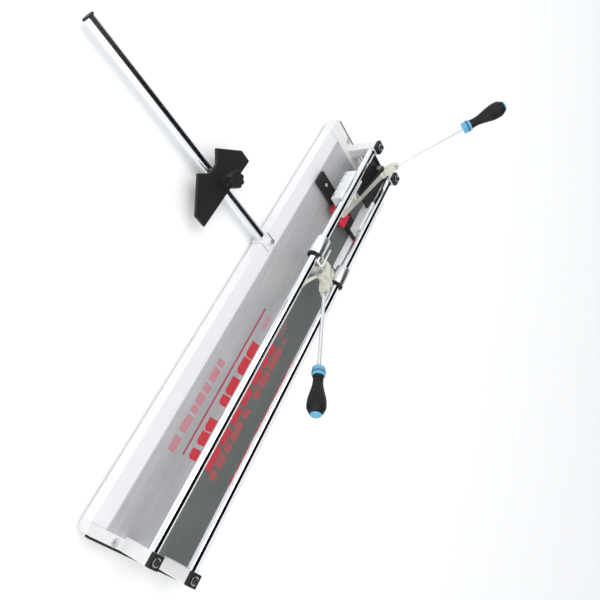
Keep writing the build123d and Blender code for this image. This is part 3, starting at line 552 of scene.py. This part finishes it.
def markRow(name, row):
    low, high = deckTop + inkCoat["bottom"], deckTop + inkCoat["top"]
    left, right = row["sides"]
    notch, slant = row["notch"], row["slant"]

    def build(work):
        for near, far in row["blocks"]:
            corners = [(left + notch, near), (right, near + slant), (right, far + slant - notch),
                       (right - notch, far + slant), (left, far), (left, near + notch)]
            slabOn(work, corners, low, high)
    newPiece(name, meshFrom(name, build, smooth=False), row["ink"], "base")


for name, row in markRows.items():
    markRow(name, row)
print("deck marks placed")


def axisFrame(axis):
    along = Vector(axis).normalized()
    across = along.cross(Vector((1, 0, 0)) if abs(along.x) < 0.9 else Vector((0, 1, 0))).normalized()
    return across, along.cross(across), along


def turned(work, origin, axis, profile, steps=40):
    # a ring turned round an axis; the profile is a closed loop of (radius, along)
    across, lift, along = axisFrame(axis)
    rings = []
    for radius, reach in profile:
        centre = Vector(origin) + along * reach
        ring = []
        for step in range(steps):
            turn = 2 * math.pi * step / steps
            ring.append(work.verts.new(centre + (across * math.cos(turn) + lift * math.sin(turn)) * radius))
        rings.append(ring)
    for first, second in zip(rings, rings[1:] + rings[:1]):
        for step in range(steps):
            after = (step + 1) % steps
            work.faces.new((first[step], first[after], second[after], second[step]))


def ringProfile(inner, outer, low, high, edge):
    return [(inner, low), (outer - edge, low), (outer, low + edge), (outer, high - edge),
            (outer - edge, high), (inner, high)]


def swept(work, path, section):
    # a bar bent along a path; the section is a closed loop of (sideways, up)
    rings = []
    points = [Vector(point) for point in path]
    for index, point in enumerate(points):
        ahead = points[min(index + 1, len(points) - 1)] - points[max(index - 1, 0)]
        side = ahead.cross(Vector((0, 0, 1))).normalized()
        rise = side.cross(ahead).normalized()
        rings.append([work.verts.new(point + side * a + rise * b) for a, b in section])
    for first, second in zip(rings, rings[1:]):
        for step in range(len(section)):
            after = (step + 1) % len(section)
            work.faces.new((first[step], first[after], second[after], second[step]))
    work.faces.new(list(reversed(rings[0])))
    work.faces.new(rings[-1])


def rounded(points, radius, steps=6):
    # the same path with each inner corner turned into a short curve
    path = [Vector(points[0])]
    for before, corner, after in zip(points, points[1:], points[2:]):
        before, corner, after = Vector(before), Vector(corner), Vector(after)
        start = corner + (before - corner).normalized() * radius
        end = corner + (after - corner).normalized() * radius
        for step in range(steps + 1):
            part = step / steps
            path.append(start.lerp(corner, part).lerp(corner.lerp(end, part), part))
    path.append(Vector(points[-1]))
    return path


def circleSection(radius, steps=14):
    turns = [2 * math.pi * step / steps for step in range(steps)]
    return [(math.cos(turn) * radius, math.sin(turn) * radius) for turn in turns]


pivots = {joint["name"]: joint["pos_m"] for joint in frame["joints"] if "pos_m" in joint}
handles = {
    "score": {"hub": pivots["score_lever_pivot"], "angle": 24.0, "lean": -1, "reach": 0.290,
              "body": "score_lever"},
    "breaker": {"hub": pivots["breaker_lever_pivot"], "angle": 52.5, "lean": 1, "reach": 0.264,
                "body": "breaker_lever"},
}
# inner and outer radius, start and end along the rod, edge
lockNutLook = {
    "nut": (0.00505, 0.0088, 0.0515, 0.0580, 0.0007),
    "washer": (0.00505, 0.0100, 0.0500, 0.0514, 0.0003),
    "nutSides": 6,
    "soft": 0.0004,
}
collarBandLook = {
    "inner": 0.0160,
    "outer": 0.0176,
    "start": 0.0120,  # past the rod's reach
    "end": 0.0170,
    "edge": 0.0010,
}
gripRibLook = {
    "count": 8,
    "start": 0.024,  # past the rod's reach
    "outline": ((0.038, 0.0155), (0.046, 0.0178), (0.056, 0.0203), (0.066, 0.0220),
                (0.076, 0.0229), (0.086, 0.0226), (0.092, 0.0210)),  # place along the grip, its radius
    "section": ((-1, -1.5), (-0.5, 0.3), (0, 0.8), (0.5, 0.3), (1, -1.5)),  # shares of width and height
    "halfWidth": 0.0032,
    "height": 0.0010,
}


def alongHandle(handle):
    rise = math.radians(handle["angle"])
    return Vector((0, handle["lean"] * math.cos(rise), math.sin(rise)))


def ribRings(work, start, along, out):
    # cross-sections of one rib along the grip; the rib swells in the middle
    side = along.cross(out)
    outline, halfWidth = gripRibLook["outline"], gripRibLook["halfWidth"]
    first, last = outline[0][0], outline[-1][0]
    rings = []
    for place, radius in outline:
        swell = gripRibLook["height"] * math.sin(math.pi * (place - first) / (last - first))
        centre = start + along * place
        rings.append([work.verts.new(centre + out * (radius + high * swell) + side * wide * halfWidth)
                      for wide, high in gripRibLook["section"]])
    return rings


def lockNut(name, handle, axis, hub):
    def build(work):
        turned(work, hub, axis, ringProfile(*lockNutLook["nut"]), lockNutLook["nutSides"])
        turned(work, hub, axis, ringProfile(*lockNutLook["washer"]))
    mesh = meshFrom(name, build, False)
    soften(newPiece(name, mesh, finishes["zinc_bolt"], handle["body"]), lockNutLook["soft"])


def collarBand(name, handle, axis, hub):
    look = collarBandLook
    start, end = handle["reach"] + look["start"], handle["reach"] + look["end"]
    profile = ringProfile(look["inner"], look["outer"], start, end, look["edge"])
    mesh = meshFrom(name, lambda work: turned(work, hub, axis, profile))
    # a raised ring on the collar; its navy colour is painted shade
    newPiece(name, mesh, collarShadeBlue, handle["body"])


def gripRibs(name, handle, axis, hub):
    def build(work):
        across, lift, along = axisFrame(axis)
        start = hub + along * (handle["reach"] + gripRibLook["start"])
        count, sides = gripRibLook["count"], len(gripRibLook["section"])
        for rib in range(count):
            turn = 2 * math.pi * (rib + 0.5) / count
            rings = ribRings(work, start, along, across * math.cos(turn) + lift * math.sin(turn))
            for first, second in zip(rings, rings[1:]):
                for step in range(sides):
                    after = (step + 1) % sides
                    work.faces.new((first[step], first[after], second[after], second[step]))
            work.faces.new(rings[0])
            work.faces.new(rings[-1])
    newPiece(name, meshFrom(name, build), finishes["grip_rubber"], handle["body"])


for name, handle in handles.items():
    axis, hub = alongHandle(handle), Vector(handle["hub"])
    lockNut(name + "LockNut", handle, axis, hub)
    collarBand(name + "CollarBand", handle, axis, hub)
    gripRibs(name + "GripRibs", handle, axis, hub)
print("handle details placed")


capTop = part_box("rail_cap_near_left")[1][2]
wingLow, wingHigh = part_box("foot_wing_bar")
# washers and screw heads, a ring on each place
ringLook = {
    "capWashers": {
        "body": "base", "profile": ringProfile(0.0066, 0.0098, 0, 0.0012, 0.0004),
        "places": [(x, y, capTop) for x in (-0.0635, 0.0635) for y in (-0.625, 0.625)]},
    "benchWashers": {
        "body": "base", "profile": ringProfile(0.0050, 0.0095, 0, 0.0014, 0.0005),
        "places": [(x, y, deckTop) for x in (-0.098, 0.098) for y in (-0.631, 0.631)]},
    "wingScrews": {
        "body": "breaker_foot",
        "profile": [(0.0006, 0), (0.0052, 0), (0.0052, 0.0012), (0.0040, 0.0028), (0.0022, 0.0032),
                    (0.0016, 0.0018), (0.0006, 0.0018)],
        "places": [(x, (wingLow[1] + wingHigh[1]) / 2, wingHigh[2]) for x in (-0.098, 0.098)]},
}
ringSteps = 36


def ringSet(name, look):
    def build(work):
        for place in look["places"]:
            turned(work, place, (0, 0, 1), look["profile"], ringSteps)
    newPiece(name, meshFrom(name, build), finishes["zinc_bolt"], look["body"])


for name, look in ringLook.items():
    ringSet(name, look)

# heights in the two paths are above the deck
hookLook = {
    "path": ((-0.033, 0.241, 0.090), (-0.033, 0.180, 0.091),
             (-0.060, 0.176, 0.094), (-0.061, 0.198, 0.095)),
    "bend": 0.006,
    "radius": 0.0028,
}
leafLook = {
    "path": ((-0.0400, 0.458, 0.070), (-0.030, 0.444, 0.074),
             (-0.016, 0.452, 0.072), (-0.0125, 0.470, 0.068)),
    "bend": 0.007,
    "halfThick": 0.0006,
    "halfWide": 0.005,
}


def bentBar(name, look, section, material, body):
    path = rounded([(x, y, deckTop + rise) for x, y, rise in look["path"]], look["bend"])
    mesh = meshFrom(name, lambda work: swept(work, path, section))
    newPiece(name, mesh, finishes[material], body)


thick, wide = leafLook["halfThick"], leafLook["halfWide"]
leafSection = [(-thick, -wide), (thick, -wide), (thick, wide), (-thick, wide)]
bentBar("sleeveHook", hookLook, circleSection(hookLook["radius"]), "rim_aluminium", "score_carriage")
bentBar("leafSpring", leafLook, leafSection, "nickel_casting", "breaker_carriage")

tickLook = {
    "left": 0.0975,
    "start": 0.291,
    "pitch": 0.010,
    "count": 29,
    "longEvery": 5,
    "short": 0.0070,
    "long": 0.0125,
    "width": 0.0006,
    "bottom": 0.00003,  # above the rule
    "top": 0.00013,
}


def ruleTicks(name):
    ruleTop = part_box("deck_rule")[1][2]
    low, high = ruleTop + tickLook["bottom"], ruleTop + tickLook["top"]

    def build(work):
        for step in range(1, tickLook["count"] + 1):
            near = tickLook["start"] + step * tickLook["pitch"]
            far, left = near + tickLook["width"], tickLook["left"]
            right = left + tickLook["long" if step % tickLook["longEvery"] == 0 else "short"]
            slabOn(work, [(left, near), (right, near), (right, far), (left, far)], low, high)
    newPiece(name, meshFrom(name, build, False), inkBlack, "base")


ruleTicks("ruleTicks")
print("detail pieces placed")
